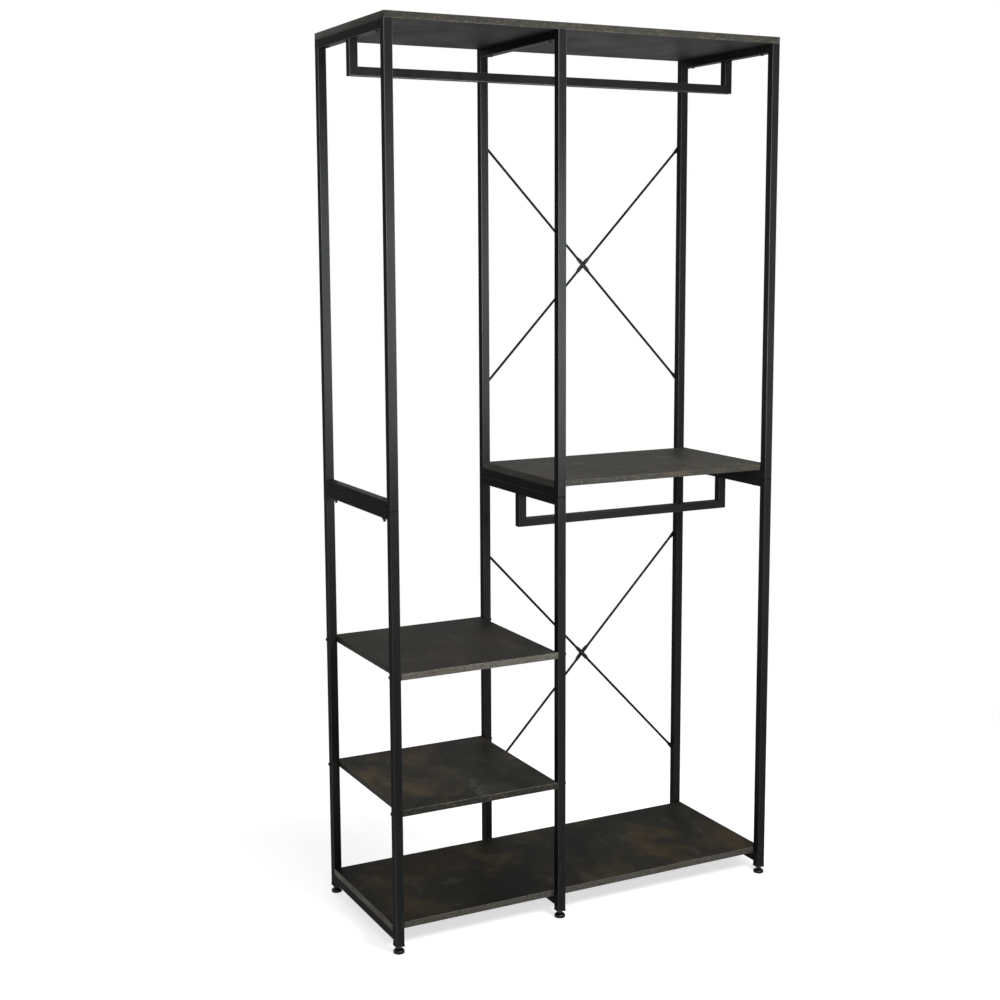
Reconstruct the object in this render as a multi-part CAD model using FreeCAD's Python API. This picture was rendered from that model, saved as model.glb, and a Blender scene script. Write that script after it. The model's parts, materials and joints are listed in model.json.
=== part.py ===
import FreeCAD
import Part
import math
import os

# Open frame wardrobe: three ladder frames of square tube, each bolted together from an upper
# and a lower half, carry a top board, a bottom board, a middle shelf and two small shelves.
# Two hanging rails hang under the frames, and two pairs of crossed rods stiffen the back.
#
# Millimetres, +Z up. The origin is on the floor, midway between the outer faces of the end
# frames and midway between the front and rear faces of the uprights. The front looks to -Y.

# Overall sizes
WIDTH = 1000.0  # between the outer faces of the end frames
DEPTH = 400.0  # between the front and rear faces of the uprights
LEFT_BAY = 390.0  # clear width between the left and the middle frame
FOOT_HEIGHT = 16.0  # from the floor to the underside of the tube end caps
LOWER_UPRIGHT = 977.0  # length of a lower upright
UPPER_UPRIGHT = 1024.0  # length of an upper upright
BOTTOM_RAIL_RISE = 9.0  # from the end of a lower upright to the underside of its bottom rail

# Square tube
TUBE = 20.0
TUBE_WALL = 1.2
TUBE_CORNER = 1.5

# Splice tubes inside the uprights, across the seam of the two half frames
SPLICE_LENGTH = 80.0
SPLICE_WALL = 1.5
SPLICE_CLEARANCE = 0.1

# Boards
BOARD = 15.0  # thickness
BOARD_EDGE = 0.8  # rounding of the edges
BOARD_CLEARANCE = 0.5  # between a board and the uprights in front of and behind it
LOW_SHELF_CLEAR = 252.0  # from the bottom board to the low shelf
HIGH_SHELF_CLEAR = 293.0  # from the low shelf to the high shelf

# Hanging rails
HANGING_DROP = 78.0  # from the underside of a frame rail to the underside of the bar
LEG_PLATE = 3.0  # threaded plate welded into the top of each leg
HANGING_BOLT_TAIL = 2.0  # bolt end past the plate

# Button head bolts and screws
BOLT_R = 3.0
BOLT_HEAD_R = 5.5
BOLT_HEAD_HEIGHT = 3.0
SHELF_HEAD_R = 5.8  # high round heads of the shelf screws
SHELF_HEAD_HEIGHT = 5.6
SOCKET_FLATS = 4.0
SOCKET_DEPTH = 1.6
BOLT_INSET = 36.0  # from the inner face of an upright to the bolt axis
FRAME_BOLT_BITE = 10.0  # frame bolt end past the two stacked rails
BOARD_SCREW_BITE = 10.0  # screw end inside the top or bottom board
SHELF_SCREW_BITE = 22.0  # screw end inside a small shelf
BLIND_HOLE_ROOM = 0.5  # blind hole past the end of its screw
HOLE_CLEARANCE = 0.2
THREAD_CLEARANCE = 0.05
ACCESS_CLEARANCE = 0.4  # round a head that passes through a tube wall
NUT_FLATS = 10.0
NUT_HEIGHT = 5.0

# Crossed brace rods behind the right bay
ROD_R = 3.0
FLAT_THICKNESS = 3.2  # pressed flats of a rod
FLAT_WIDTH = 10.0
CROSS_FLAT = 42.0  # length of the flat where two rods cross
END_FLAT = 18.0  # from the screw axis to where the round rod starts
ROD_LAP = 4.0  # round rod that runs into a flat
BRACE_RISE = 598.0  # height between the two screws of a rod
BRACE_SCREW_R = 2.5
BRACE_HEAD_R = 4.5
BRACE_HEAD_HEIGHT = 2.5
BRACE_SOCKET_FLATS = 3.0
BRACE_SOCKET_DEPTH = 1.3
BRACE_SCREW_BITE = 9.0  # screw end past the rear face of the upright
RIVET_R = 2.0
RIVET_HEAD_R = 4.0
RIVET_HEAD_HEIGHT = 1.6

# Levelling feet: an end cap in the tube, a stud that screws through it and a swivelling base
CAP_LIP = 3.0
CAP_LIP_OVERHANG = 0.7
CAP_PLUG = 22.0
CAP_CLEARANCE = 0.1
STUD_R = 4.0
STUD_REACH = 22.0  # stud above its collar
STUD_CLEARANCE = 0.05
STUD_HEAD_R = 6.0
STUD_HEAD = 2.5
STUD_HEAD_CLEARANCE = 0.1
COLLAR_FLATS = 11.0
COLLAR_GAP = 0.3  # above and below the collar
BASE_R = 13.0
BASE_RIM = 3.5  # height of the upright edge of the base
BASE_TOP_R = 7.0
BASE_HEIGHT = 8.5
BASE_FLOOR = 3.0  # under the head of the stud
BASE_CHAMFER = 0.6

# How far cutting shapes run past the faces that they cut
OVERRUN = 1.0

X_AXIS = FreeCAD.Vector(1, 0, 0)
Y_AXIS = FreeCAD.Vector(0, 1, 0)
Z_AXIS = FreeCAD.Vector(0, 0, 1)

# Places that follow from the sizes
half_tube = TUBE / 2
half_depth = DEPTH / 2
frame_x = {
    "left": half_tube - WIDTH / 2,
    "middle": half_tube - WIDTH / 2 + TUBE + LEFT_BAY,
    "right": WIDTH / 2 - half_tube,
}
upright_y = {"front": half_tube - half_depth, "rear": half_depth - half_tube}
rail_length = DEPTH - 2 * TUBE
bolt_y = rail_length / 2 - BOLT_INSET

tube_start_z = FOOT_HEIGHT + CAP_LIP
seam_z = tube_start_z + LOWER_UPRIGHT
frame_top_z = seam_z + UPPER_UPRIGHT
rail_z = {
    ("lower", "bottom"): tube_start_z + BOTTOM_RAIL_RISE,
    ("lower", "top"): seam_z - TUBE,
    ("upper", "bottom"): seam_z,
    ("upper", "top"): frame_top_z - TUBE,
}
bottom_board_z = rail_z["lower", "bottom"] + TUBE
low_shelf_z = bottom_board_z + BOARD + LOW_SHELF_CLEAR
high_shelf_z = low_shelf_z + BOARD + HIGH_SHELF_CLEAR
middle_shelf_z = seam_z + TUBE
shelf_screw_z = [low_shelf_z + BOARD / 2, high_shelf_z + BOARD / 2]

brace_y = half_depth + FLAT_THICKNESS
brace_run = frame_x["right"] - frame_x["middle"]
brace_z = {
    "upper": seam_z + UPPER_UPRIGHT / 2,
    "lower": tube_start_z + LOWER_UPRIGHT / 2,
}

# Which frame rails carry the two hanging rails: half frame, then left and right frame
hanging_rails = {
    "upper": ("upper", "left", "right"),
    "lower": ("lower", "middle", "right"),
}


def facing(shape, place, direction):
    """Turn a shape from +Z to a direction and move its origin to a place."""
    placed = shape.copy()
    placed.Placement = FreeCAD.Placement(place, FreeCAD.Rotation(Z_AXIS, direction))
    return placed


def square_bar(side, length, corner):
    """Solid square bar on the Z axis, from zero up, with its long edges rounded."""
    bar = Part.makeBox(side, side, length, FreeCAD.Vector(-side / 2, -side / 2, 0))
    long_edges = [edge for edge in bar.Edges if edge.Vertexes[0].Z != edge.Vertexes[1].Z]
    return bar.makeFillet(corner, long_edges)


def square_tube(side, wall, length, corner):
    """Square tube on the Z axis, from zero up."""
    inner = side - 2 * wall
    hollow = Part.makeBox(
        inner, inner, length + 2 * OVERRUN, FreeCAD.Vector(-inner / 2, -inner / 2, -OVERRUN)
    )
    return square_bar(side, length, corner).cut(hollow)


def hexagon(flats, height):
    """Hexagonal prism on the Z axis, from zero up, with a given width across its flats."""
    corner_r = flats / math.sqrt(3)
    angles = [math.radians(60 * k) for k in range(7)]
    corners = [FreeCAD.Vector(corner_r * math.cos(a), corner_r * math.sin(a), 0) for a in angles]
    return Part.Face(Part.makePolygon(corners)).extrude(Z_AXIS * height)


def dome(radius, height):
    """Low dome under the XY plane: a slice of a sphere with a given rim and depth."""
    ball_r = (radius * radius + height * height) / (2 * height)
    ball = Part.makeSphere(ball_r, FreeCAD.Vector(0, 0, ball_r - height))
    return ball.common(Part.makeCylinder(radius, height, FreeCAD.Vector(0, 0, -height)))


def button_bolt(shank_r, length, head_r, head_height, socket_flats, socket_depth):
    """Button head bolt: head under the XY plane with a hexagon socket, shank along +Z."""
    socket = hexagon(socket_flats, socket_depth + OVERRUN)
    socket.translate(FreeCAD.Vector(0, 0, -head_height - OVERRUN))
    head = dome(head_r, head_height).cut(socket)
    return head.fuse(Part.makeCylinder(shank_r, length)).removeSplitter()


def main_bolt(length, head_r=BOLT_HEAD_R, head_height=BOLT_HEAD_HEIGHT):
    """One of the bolts or screws that hold tubes and boards together."""
    return button_bolt(BOLT_R, length, head_r, head_height, SOCKET_FLATS, SOCKET_DEPTH)


def group(shape, places):
    """Copies of a shape at a list of (place, direction) pairs, as separate solids."""
    return Part.makeCompound([facing(shape, place, way) for place, way in places])


def drill(shape, places, radius, depth):
    """Cut a round hole at each (place, direction), from just outside the face to a depth."""
    for place, way in places:
        start = place - way * OVERRUN
        shape = shape.cut(Part.makeCylinder(radius, depth + OVERRUN, start, way))
    return shape


def on_side(places, x):
    """The places on the frame whose middle is at the given X."""
    return [(place, way) for place, way in places if abs(place.x - x) < TUBE]


def bolt_places(frames, z, way=Z_AXIS):
    """Bolt places on the frame rails at a height: two on each rail, pointing up unless told."""
    return [
        (FreeCAD.Vector(frame_x[frame], side * bolt_y, z), way)
        for frame in frames
        for side in (-1, 1)
    ]


def shelf_screw_places():
    """Screw places of the small shelves, on the outsides of the left and middle uprights."""
    left_face = frame_x["left"] - half_tube
    right_face = frame_x["middle"] + half_tube
    return [
        (FreeCAD.Vector(x, y, z), way)
        for x, way in ((left_face, X_AXIS), (right_face, -X_AXIS))
        for y in upright_y.values()
        for z in shelf_screw_z
    ]


def hanging_bolt_places(rail):
    """Bolt places of a hanging rail: on the inside of the frame rail's lower wall, pointing down."""
    half, left, right = hanging_rails[rail]
    z = rail_z[half, "top"] + TUBE_WALL
    return [(FreeCAD.Vector(frame_x[frame], 0, z), -Z_AXIS) for frame in (left, right)]


def brace_screw_places(half):
    """Screw places of a pair of crossed rods, on the back of the rods' end flats."""
    return [
        (FreeCAD.Vector(frame_x[frame], brace_y, brace_z[half] + end * BRACE_RISE / 2), -Y_AXIS)
        for frame in ("middle", "right")
        for end in (-1, 1)
    ]


def upright(frame, half, side):
    """One upright of a half frame, with the holes for shelf and brace screws that it needs."""
    start, length = {"lower": (tube_start_z, LOWER_UPRIGHT), "upper": (seam_z, UPPER_UPRIGHT)}[half]
    place = FreeCAD.Vector(frame_x[frame], upright_y[side], start)
    tube = facing(square_tube(TUBE, TUBE_WALL, length, TUBE_CORNER), place, Z_AXIS)
    if half == "lower" and frame != "right":
        places = [p for p in shelf_screw_places() if p[0].y == upright_y[side]]
        tube = drill(tube, on_side(places, frame_x[frame]), BOLT_R + HOLE_CLEARANCE, TUBE)
    if side == "rear" and frame != "left":
        places = on_side(brace_screw_places(half), frame_x[frame])
        reach = FLAT_THICKNESS + half_tube
        tube = drill(tube, places, BRACE_SCREW_R + THREAD_CLEARANCE, reach)
    return tube


def frame_rail(frame, half, end):
    """One rail of a half frame, with its bolt holes and any hole for a hanging rail's bolt."""
    underside = rail_z[half, end]
    place = FreeCAD.Vector(frame_x[frame], -rail_length / 2, underside + half_tube)
    tube = facing(square_tube(TUBE, TUBE_WALL, rail_length, TUBE_CORNER), place, Y_AXIS)
    tube = drill(tube, bolt_places([frame], underside), BOLT_R + HOLE_CLEARANCE, TUBE + OVERRUN)
    if end == "top" and any(half == owner[0] and frame in owner for owner in hanging_rails.values()):
        centre = FreeCAD.Vector(frame_x[frame], 0, underside)
        tube = drill(tube, [(centre, Z_AXIS)], BOLT_R + HOLE_CLEARANCE, half_tube)
        top = centre + Z_AXIS * TUBE
        tube = drill(tube, [(top, -Z_AXIS)], BOLT_HEAD_R + ACCESS_CLEARANCE, half_tube)
    return tube


def board(x_start, x_end, depth, z):
    """A board between two X places, centred in depth, with its edges just rounded."""
    corner = FreeCAD.Vector(x_start, -depth / 2, z)
    box = Part.makeBox(x_end - x_start, depth, BOARD, corner)
    return box.makeFillet(BOARD_EDGE, box.Edges)


def boards():
    """The five boards, with blind holes for their screws."""
    hole_r = BOLT_R + THREAD_CLEARANCE
    between_uprights = rail_length - 2 * BOARD_CLEARANCE
    left_face = frame_x["left"] - half_tube
    middle_face = frame_x["middle"] - half_tube
    right_face = frame_x["right"] + half_tube

    top = board(left_face, right_face, DEPTH, frame_top_z)
    places = bolt_places(frame_x, frame_top_z)
    top = drill(top, places, hole_r, BOARD_SCREW_BITE + BLIND_HOLE_ROOM)

    bottom = board(left_face, right_face, between_uprights, bottom_board_z)
    places = bolt_places(frame_x, bottom_board_z)
    bottom = drill(bottom, places, hole_r, BOARD_SCREW_BITE + BLIND_HOLE_ROOM)

    middle = board(middle_face, right_face, between_uprights, middle_shelf_z)
    places = bolt_places(("middle", "right"), middle_shelf_z)
    middle = drill(middle, places, hole_r, FRAME_BOLT_BITE + BLIND_HOLE_ROOM)

    shelves = []
    for z in (low_shelf_z, high_shelf_z):
        shelf = board(left_face + TUBE, middle_face, DEPTH, z)
        places = [p for p in shelf_screw_places() if z < p[0].z < z + BOARD]
        depth = TUBE + SHELF_SCREW_BITE + BLIND_HOLE_ROOM
        shelves.append(drill(shelf, places, hole_r, depth))
    return {
        "top_board": top,
        "bottom_board": bottom,
        "middle_shelf": middle,
        "left_shelf_low": shelves[0],
        "left_shelf_high": shelves[1],
    }


def mitre(tube, corner, inward, keep):
    """Cut a tube at 45 degrees through a bar's lower outer corner, keeping the bar or the leg."""
    reach = TUBE + OVERRUN
    outside = corner - X_AXIS * (inward * OVERRUN)
    inside = corner + X_AXIS * (inward * reach)
    off_side = {"bar": outside + Z_AXIS * reach, "leg": inside - Z_AXIS * OVERRUN}[keep]
    points = [outside - Z_AXIS * OVERRUN, inside + Z_AXIS * reach, off_side]
    outline = Part.Face(Part.makePolygon(points + points[:1]))
    outline.translate(-Y_AXIS * TUBE)
    return tube.cut(outline.extrude(Y_AXIS * (2 * TUBE)))


def hanging_rail(rail):
    """A hanging rail as a bar and two legs of square tube, mitred where they meet."""
    half, left, right = hanging_rails[rail]
    seat_z = rail_z[half, "top"]
    bar_z = seat_z - HANGING_DROP
    ends = {"left": (frame_x[left] - half_tube, 1), "right": (frame_x[right] + half_tube, -1)}
    length = ends["right"][0] - ends["left"][0]
    tube = square_tube(TUBE, TUBE_WALL, length, TUBE_CORNER)
    bar = facing(tube, FreeCAD.Vector(ends["left"][0], 0, bar_z + half_tube), X_AXIS)
    inner = TUBE - 2 * TUBE_WALL
    plate = Part.makeBox(inner, inner, LEG_PLATE, FreeCAD.Vector(-inner / 2, -inner / 2, 0))
    legs = {}
    for side, (x, inward) in ends.items():
        corner = FreeCAD.Vector(x, 0, bar_z)
        bar = mitre(bar, corner, inward, "bar")
        foot = corner + X_AXIS * (inward * half_tube)
        seat = foot + Z_AXIS * HANGING_DROP
        leg = facing(square_tube(TUBE, TUBE_WALL, HANGING_DROP, TUBE_CORNER), foot, Z_AXIS)
        leg = mitre(leg, corner, inward, "leg")
        leg = leg.fuse(facing(plate, seat - Z_AXIS * LEG_PLATE, Z_AXIS)).removeSplitter()
        legs[side] = drill(leg, [(seat, -Z_AXIS)], BOLT_R + THREAD_CLEARANCE, LEG_PLATE + OVERRUN)
    return {
        rail + "_hanging_bar": bar,
        rail + "_hanging_leg_left": legs["left"],
        rail + "_hanging_leg_right": legs["right"],
    }


def rod_flat(length, start_y):
    """Pressed flat of a rod along X, centred, with round ends, from a depth to the rear."""
    straight = length - FLAT_WIDTH
    middle = Part.makeBox(
        straight, FLAT_THICKNESS, FLAT_WIDTH, FreeCAD.Vector(-straight / 2, start_y, -FLAT_WIDTH / 2)
    )
    for side in (-1, 1):
        centre = FreeCAD.Vector(side * straight / 2, start_y, 0)
        middle = middle.fuse(Part.makeCylinder(FLAT_WIDTH / 2, FLAT_THICKNESS, centre, Y_AXIS))
    return middle.removeSplitter()


def brace_rod(half, slope):
    """One brace rod: two round runs between a flat at the crossing and a flat at each end."""
    length = math.hypot(brace_run, BRACE_RISE)
    in_front = -FLAT_THICKNESS
    rod = rod_flat(CROSS_FLAT, in_front if slope < 0 else 0)
    run_start = CROSS_FLAT / 2 - ROD_LAP
    run_end = length / 2 - END_FLAT + ROD_LAP
    end_flat = rod_flat(END_FLAT + FLAT_WIDTH / 2, in_front)
    holes = [(FreeCAD.Vector(0, in_front, 0), Y_AXIS)]
    rod = drill(rod, holes, RIVET_R + THREAD_CLEARANCE, 2 * FLAT_THICKNESS + OVERRUN)
    for side in (-1, 1):
        start = X_AXIS * (side * run_start)
        rod = rod.fuse(Part.makeCylinder(ROD_R, run_end - run_start, start, X_AXIS * side))
        for end in (run_start, run_end):
            rod = rod.fuse(Part.makeSphere(ROD_R, X_AXIS * (side * end)))
        centre = length / 2 + FLAT_WIDTH / 2 - (END_FLAT + FLAT_WIDTH / 2) / 2
        tab = end_flat.copy()
        tab.translate(X_AXIS * (side * centre))
        hole = [(FreeCAD.Vector(side * length / 2, in_front, 0), Y_AXIS)]
        tab = drill(tab, hole, BRACE_SCREW_R + HOLE_CLEARANCE, FLAT_THICKNESS + OVERRUN)
        rod = rod.fuse(tab)
    rod = rod.removeSplitter()
    angle = -slope * math.degrees(math.atan2(BRACE_RISE, brace_run))
    middle_x = (frame_x["middle"] + frame_x["right"]) / 2
    rod.Placement = FreeCAD.Placement(
        FreeCAD.Vector(middle_x, brace_y, brace_z[half]), FreeCAD.Rotation(Y_AXIS, angle)
    )
    return rod


def brace_rivet():
    """Rivet through two crossed flats: along Z, from the front of one to the back of the other."""
    shank = Part.makeCylinder(RIVET_R, 2 * FLAT_THICKNESS)
    front = dome(RIVET_HEAD_R, RIVET_HEAD_HEIGHT)
    back = facing(front, Z_AXIS * (2 * FLAT_THICKNESS), -Z_AXIS)
    return shank.fuse([front, back]).removeSplitter()


def foot_cap():
    """End cap of an upright: a plug in the tube over a lip, with the bore for the stud."""
    lip_side = TUBE + 2 * CAP_LIP_OVERHANG
    plug_side = TUBE - 2 * TUBE_WALL - 2 * CAP_CLEARANCE
    lip = square_bar(lip_side, CAP_LIP, TUBE_CORNER)
    plug = square_bar(plug_side, CAP_LIP + CAP_PLUG, TUBE_CORNER)
    cap = lip.fuse(plug).removeSplitter()
    return drill(cap, [(FreeCAD.Vector(), Z_AXIS)], STUD_R + STUD_CLEARANCE, CAP_LIP + CAP_PLUG + OVERRUN)


def foot_stud():
    """Stud of a foot, on the Z axis over the floor: head in the base, collar, threaded reach."""
    collar_z = BASE_HEIGHT + COLLAR_GAP
    collar_top = FOOT_HEIGHT - COLLAR_GAP
    head = Part.makeCylinder(STUD_HEAD_R, STUD_HEAD, Z_AXIS * BASE_FLOOR)
    shank = Part.makeCylinder(STUD_R, collar_top + STUD_REACH - BASE_FLOOR, Z_AXIS * BASE_FLOOR)
    collar = hexagon(COLLAR_FLATS, collar_top - collar_z)
    collar.translate(Z_AXIS * collar_z)
    return shank.fuse([head, collar]).removeSplitter()


def foot_base():
    """Base of a foot: a low round dome with a pocket that holds the head of the stud."""
    profile = [
        (0, 0),
        (BASE_R - BASE_CHAMFER, 0),
        (BASE_R, BASE_CHAMFER),
        (BASE_R, BASE_RIM),
    ]
    points = [FreeCAD.Vector(r, 0, z) for r, z in profile]
    shoulder = FreeCAD.Vector(BASE_TOP_R, 0, BASE_HEIGHT)
    bend_share = math.sqrt(0.5)
    bend = FreeCAD.Vector(
        BASE_TOP_R + (BASE_R - BASE_TOP_R) * bend_share,
        0,
        BASE_RIM + (BASE_HEIGHT - BASE_RIM) * bend_share,
    )
    edges = Part.makePolygon(points).Edges
    edges.append(Part.Arc(points[-1], bend, shoulder).toShape())
    edges.extend(Part.makePolygon([shoulder, Z_AXIS * BASE_HEIGHT, points[0]]).Edges)
    base = Part.Face(Part.Wire(edges)).revolve(FreeCAD.Vector(), Z_AXIS, 360)
    bore_r = STUD_R + STUD_CLEARANCE
    pocket_r = STUD_HEAD_R + STUD_HEAD_CLEARANCE
    pocket_z = BASE_FLOOR - STUD_HEAD_CLEARANCE
    pocket_height = STUD_HEAD + 2 * STUD_HEAD_CLEARANCE
    base = base.cut(Part.makeCylinder(pocket_r, pocket_height, Z_AXIS * pocket_z))
    return base.cut(Part.makeCylinder(bore_r, BASE_HEIGHT, Z_AXIS * BASE_FLOOR))


def frames():
    """The tubes of the six half frames."""
    tubes = {}
    for frame in frame_x:
        for half in ("upper", "lower"):
            for side in upright_y:
                tubes[f"{frame}_{half}_{side}_upright"] = upright(frame, half, side)
            for end in ("top", "bottom"):
                tubes[f"{frame}_{half}_{end}_rail"] = frame_rail(frame, half, end)
    return tubes


def feet():
    """The six feet: a base and a stud each, and one group of end caps."""
    solids = {}
    caps = []
    for frame, x in frame_x.items():
        for side, y in upright_y.items():
            on_floor = FreeCAD.Vector(x, y, 0)
            solids[f"foot_base_{frame}_{side}"] = facing(foot_base(), on_floor, Z_AXIS)
            solids[f"foot_stud_{frame}_{side}"] = facing(foot_stud(), on_floor, Z_AXIS)
            caps.append((on_floor + Z_AXIS * FOOT_HEIGHT, Z_AXIS))
    solids["foot_caps"] = group(foot_cap(), caps)
    return solids


def braces():
    """The four brace rods, with their rivets and screws."""
    solids = {}
    rivets = []
    screws = []
    middle_x = (frame_x["middle"] + frame_x["right"]) / 2
    for half, z in brace_z.items():
        solids[half + "_brace_rod_rising"] = brace_rod(half, 1)
        solids[half + "_brace_rod_falling"] = brace_rod(half, -1)
        rivets.append((FreeCAD.Vector(middle_x, half_depth, z), Y_AXIS))
        screws.extend(brace_screw_places(half))
    solids["brace_rivets"] = group(brace_rivet(), rivets)
    screw = button_bolt(
        BRACE_SCREW_R,
        FLAT_THICKNESS + BRACE_SCREW_BITE,
        BRACE_HEAD_R,
        BRACE_HEAD_HEIGHT,
        BRACE_SOCKET_FLATS,
        BRACE_SOCKET_DEPTH,
    )
    solids["brace_screws"] = group(screw, screws)
    return solids


def fasteners():
    """Splices, bolts, nuts and screws of the frames, boards and hanging rails."""
    splice_side = TUBE - 2 * TUBE_WALL - 2 * SPLICE_CLEARANCE
    splice = square_tube(splice_side, SPLICE_WALL, SPLICE_LENGTH, TUBE_CORNER)
    splices = [
        (FreeCAD.Vector(x, y, seam_z - SPLICE_LENGTH / 2), Z_AXIS)
        for x in frame_x.values()
        for y in upright_y.values()
    ]
    nut_hole = [(FreeCAD.Vector(), Z_AXIS)]
    nut = drill(hexagon(NUT_FLATS, NUT_HEIGHT), nut_hole, BOLT_R + THREAD_CLEARANCE, NUT_HEIGHT + OVERRUN)
    under_rails = rail_z["lower", "top"]
    frame_bolts = bolt_places(("middle", "right"), under_rails)
    frame_bolts += bolt_places(["left"], seam_z + TUBE, -Z_AXIS)
    board_screws = bolt_places(frame_x, rail_z["upper", "top"])
    board_screws += bolt_places(frame_x, rail_z["lower", "bottom"])
    shelf_screw = main_bolt(TUBE + SHELF_SCREW_BITE, SHELF_HEAD_R, SHELF_HEAD_HEIGHT)
    hanging_bolts = hanging_bolt_places("upper") + hanging_bolt_places("lower")
    return {
        "upright_splices": group(splice, splices),
        "frame_bolts": group(main_bolt(2 * TUBE + FRAME_BOLT_BITE), frame_bolts),
        "frame_nuts": group(nut, bolt_places(["left"], under_rails, -Z_AXIS)),
        "board_screws": group(main_bolt(TUBE + BOARD_SCREW_BITE), board_screws),
        "shelf_screws": group(shelf_screw, shelf_screw_places()),
        "hanging_bolts": group(main_bolt(TUBE_WALL + LEG_PLATE + HANGING_BOLT_TAIL), hanging_bolts),
    }


nodes = {}
for solids in (
    frames(),
    boards(),
    hanging_rail("upper"),
    hanging_rail("lower"),
    braces(),
    feet(),
    fasteners(),
):
    nodes.update(solids)

os.makedirs("parts", exist_ok=True)
for name, shape in nodes.items():
    shape.exportStep(os.path.join("parts", name + ".step"))
print(len(nodes), "nodes")
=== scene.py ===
"""Looks of an open frame wardrobe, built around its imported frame.

It adds the finishes, boards with glued edge bands, pressed brace rods, threaded feet and welds,
and then the studio and the camera. Lengths are in metres, in the frame's own axes: X to the right,
Y to the rear and Z up from the floor.
"""
from __future__ import annotations

import json
import logging
import math
from abc import ABC, abstractmethod
from dataclasses import dataclass, field
from enum import Enum
from typing import ClassVar, Optional, Sequence, Union

import bmesh
import bpy
import numpy as np
from mathutils import Matrix, Vector


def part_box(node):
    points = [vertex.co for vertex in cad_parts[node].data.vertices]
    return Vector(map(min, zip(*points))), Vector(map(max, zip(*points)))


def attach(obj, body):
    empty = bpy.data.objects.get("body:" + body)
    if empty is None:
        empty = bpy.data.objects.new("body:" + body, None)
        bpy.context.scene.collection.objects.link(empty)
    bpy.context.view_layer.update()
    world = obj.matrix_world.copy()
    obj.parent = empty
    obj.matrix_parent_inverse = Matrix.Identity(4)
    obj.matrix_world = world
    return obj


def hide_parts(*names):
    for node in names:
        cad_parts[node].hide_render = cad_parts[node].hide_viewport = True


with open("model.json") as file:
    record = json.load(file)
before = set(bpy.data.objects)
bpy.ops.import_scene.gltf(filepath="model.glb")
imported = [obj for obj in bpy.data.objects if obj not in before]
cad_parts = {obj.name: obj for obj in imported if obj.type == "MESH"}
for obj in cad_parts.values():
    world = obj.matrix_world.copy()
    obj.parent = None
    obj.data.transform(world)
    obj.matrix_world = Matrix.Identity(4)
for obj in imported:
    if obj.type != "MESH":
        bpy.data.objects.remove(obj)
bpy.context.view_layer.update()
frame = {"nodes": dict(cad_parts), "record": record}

LOG = logging.getLogger("wardrobe")
ROOT_BODY = "wardrobe"
LADDERS = ("left", "middle", "right")
MERGE_DISTANCE = 1e-7
# Levels between which most of a noise lies.
NOISE_MIDDLE = (0.3, 0.7)

Socket = bpy.types.NodeSocket
Value = Union[Socket, float, str, Sequence[float]]
Key = Union[int, str]


class Slot(Enum):
    """Material slots of the record."""

    FRAME = "frame_coating"
    ROD = "rod_coating"
    BOARD = "board_laminate"
    FASTENER = "fastener_black"
    FOOT = "foot_plastic"
    CAP = "cap_plastic"
    STUD = "stud_steel"
    SPLICE = "splice_steel"


class Slope(Enum):
    """Which way a brace rod runs from the middle frame to the right one."""

    RISING = 1
    FALLING = -1


class Half(Enum):
    """Upper or lower half of the wardrobe."""

    UPPER = "upper"
    LOWER = "lower"


def linear(written: str) -> tuple[float, float, float, float]:
    """Decodes a written display colour: each level goes through the sRGB curve.

    Args:
        written: A hash sign and six hexadecimal digits.

    Returns:
        Linear red, green and blue, and an alpha of one.
    """
    level = np.array([int(written[i : i + 2], 16) for i in (1, 3, 5)]) / 255.0
    shade = np.where(level <= 0.04045, level / 12.92, ((level + 0.055) / 1.055) ** 2.4)
    return (*shade.tolist(), 1.0)


def grey(level: float) -> tuple[float, float, float, float]:
    """Linear grey of one level, with an alpha of one."""
    return (level, level, level, 1.0)


def corners(node: str) -> tuple[np.ndarray, np.ndarray]:
    """Lowest and highest corner of a CAD node at rest."""
    low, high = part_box(node)
    return np.array(low), np.array(high)


def ease(value: np.ndarray, low: float, high: float) -> np.ndarray:
    """Smooth step from 0 at low to 1 at high: t squared times three minus two t.

    Args:
        value: Any array.
        low: Value where the step starts.
        high: Value where the step ends.

    Returns:
        An array of the same shape, from 0 to 1.
    """
    t = np.clip((value - low) / (high - low), 0.0, 1.0)
    return t * t * (3.0 - 2.0 * t)


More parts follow.
